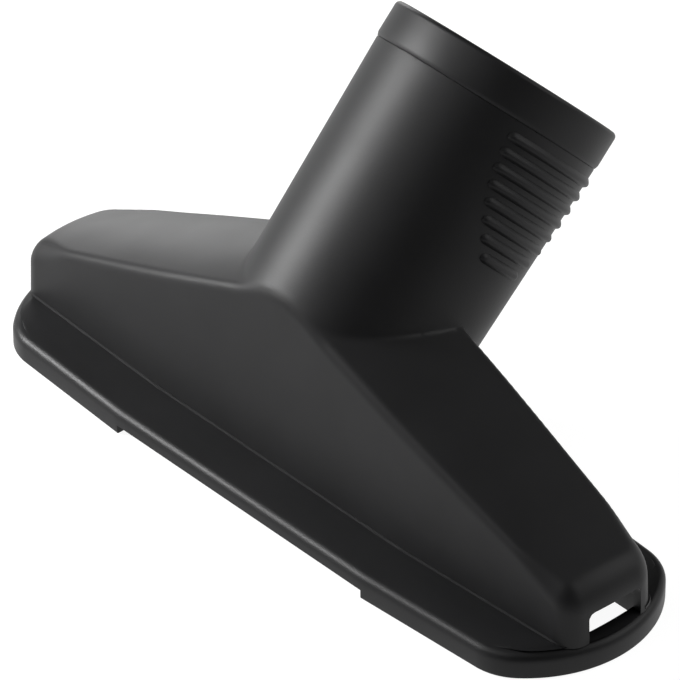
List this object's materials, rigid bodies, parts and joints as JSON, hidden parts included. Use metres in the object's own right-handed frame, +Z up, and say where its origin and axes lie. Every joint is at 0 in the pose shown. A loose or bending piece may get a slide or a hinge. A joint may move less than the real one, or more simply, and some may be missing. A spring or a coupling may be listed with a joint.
{
  "type": "vacuum cleaner upholstery nozzle",
  "caption": "Wide flat-soled suction nozzle for upholstery: a hood with end air windows, a leaning ribbed socket for a suction tube, and clip-in velour lint strips underneath.",
  "frame": {"origin": "on the ground plane under the middle of the nozzle's footprint, halfway between the sole's front edge and the socket's rearmost point", "axes": "+X along the sole's long axis, -Y towards the sole's front edge, +Z up; the socket leans back towards +Y"},
  "size_m": [0.133, 0.0712, 0.0732],
  "materials": {
    "shell_plastic": "fine-textured matte black",
    "sole_plastic": "fine-textured matte black",
    "carrier_plastic": "plain matte black",
    "velour": "short charcoal pile"
  },
  "bodies": {
    "nozzle": {"hood_shell": "shell_plastic", "sole_plate": "sole_plastic", "end_collar": "shell_plastic"},
    "front_lifter": {"front_strip_carrier": "carrier_plastic", "front_lint_strip": "velour"},
    "rear_lifter": {"rear_strip_carrier": "carrier_plastic", "rear_lint_strip": "velour"}
  },
  "joints": [
    {"name": "front_lifter_slide", "type": "slide", "parent": "nozzle", "child": "front_lifter", "axis": [0, 0, -1], "range_m": [0, 0.008]},
    {"name": "rear_lifter_slide", "type": "slide", "parent": "nozzle", "child": "rear_lifter", "axis": [0, 0, -1], "range_m": [0, 0.008]}
  ]
}
